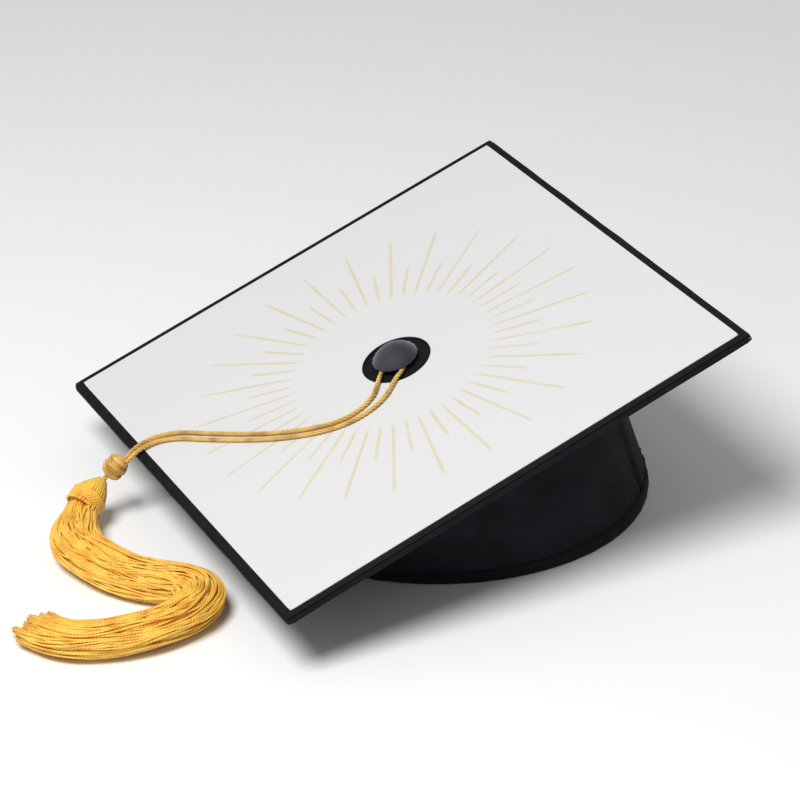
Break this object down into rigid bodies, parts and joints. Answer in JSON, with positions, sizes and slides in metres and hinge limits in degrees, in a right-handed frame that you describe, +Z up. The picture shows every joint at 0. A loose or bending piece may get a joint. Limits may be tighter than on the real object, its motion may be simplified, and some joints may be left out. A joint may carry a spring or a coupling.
{
  "type": "graduation cap",
  "caption": "Square cloth-covered graduation cap with a soft skull-cap, a golden tassel on a button and a plain white board topper.",
  "frame": {"origin": "centre of the cap's bounding box at its base, in the plane that the rim stands on; the tassel is not counted", "axes": "+Z up, -Y towards the cap's front, where the board is lowest; +X towards the wearer's left"},
  "size_m": [0.2414, 0.3263, 0.1103],
  "materials": {
    "card": "matte grey-brown board",
    "black_cloth": "matte woven black",
    "crown_cloth": "matte woven black",
    "lining_cloth": "smooth black lining",
    "band_cloth": "ribbed black band",
    "binding_tape": "black tape",
    "elastic": "braided black elastic",
    "label_cloth": "blank woven label",
    "button_metal": "plain pressed steel",
    "button_cloth": "black cloth drawn tight, slight sheen",
    "pin_brass": "plain brass",
    "pad_foam": "white foam",
    "topper_black": "matte black sheet",
    "topper_white": "smooth white card, low sheen",
    "tassel_cord": "twisted golden cord, sheen",
    "tassel_threads": "golden rayon threads, sheen"
  },
  "bodies": {
    "cap": {"board_core": "card", "board_top_cover": "black_cloth", "board_bottom_cover": "black_cloth", "topper_pads": "pad_foam", "topper_backing": "topper_black", "topper_face": "topper_white", "button_shell": "button_metal", "button_cover": "button_cloth", "button_back": "button_metal", "button_pin": "pin_brass", "button_washer": "button_metal", "crown_panel_left": "crown_cloth", "crown_panel_right": "crown_cloth", "crown_panel_back": "crown_cloth", "crown_stiffener": "card", "crown_lining": "lining_cloth", "crown_tip": "crown_cloth", "tip_lining": "lining_cloth", "sweatband": "band_cloth", "rim_binding": "binding_tape", "elastic_band": "elastic", "size_label": "label_cloth"},
    "tassel_strands": {"tassel_loop": "tassel_cord"},
    "tassel_drop": {"tassel_knot": "tassel_cord", "tassel_neck": "tassel_cord"},
    "tassel_end": {"tassel_head": "tassel_threads", "tassel_collar": "tassel_threads", "tassel_skirt": "tassel_threads"}
  },
  "joints": [
    {"name": "loop_swivel", "type": "hinge", "parent": "cap", "child": "tassel_strands", "pos_m": [0, -0.0031, 0.06984], "axis": [0, -0.3305, 0.9438], "range_deg": [0, 12]},
    {"name": "edge_swing", "type": "hinge", "parent": "tassel_strands", "child": "tassel_drop", "pos_m": [-0.041, -0.1206, 0.032], "axis": [-1, 0, 0], "range_deg": [0, 75]},
    {"name": "neck_swing", "type": "hinge", "parent": "tassel_drop", "child": "tassel_end", "pos_m": [-0.0455, -0.1339, 0.0195], "axis": [0, 0, 1], "range_deg": [-45, 0]}
  ]
}
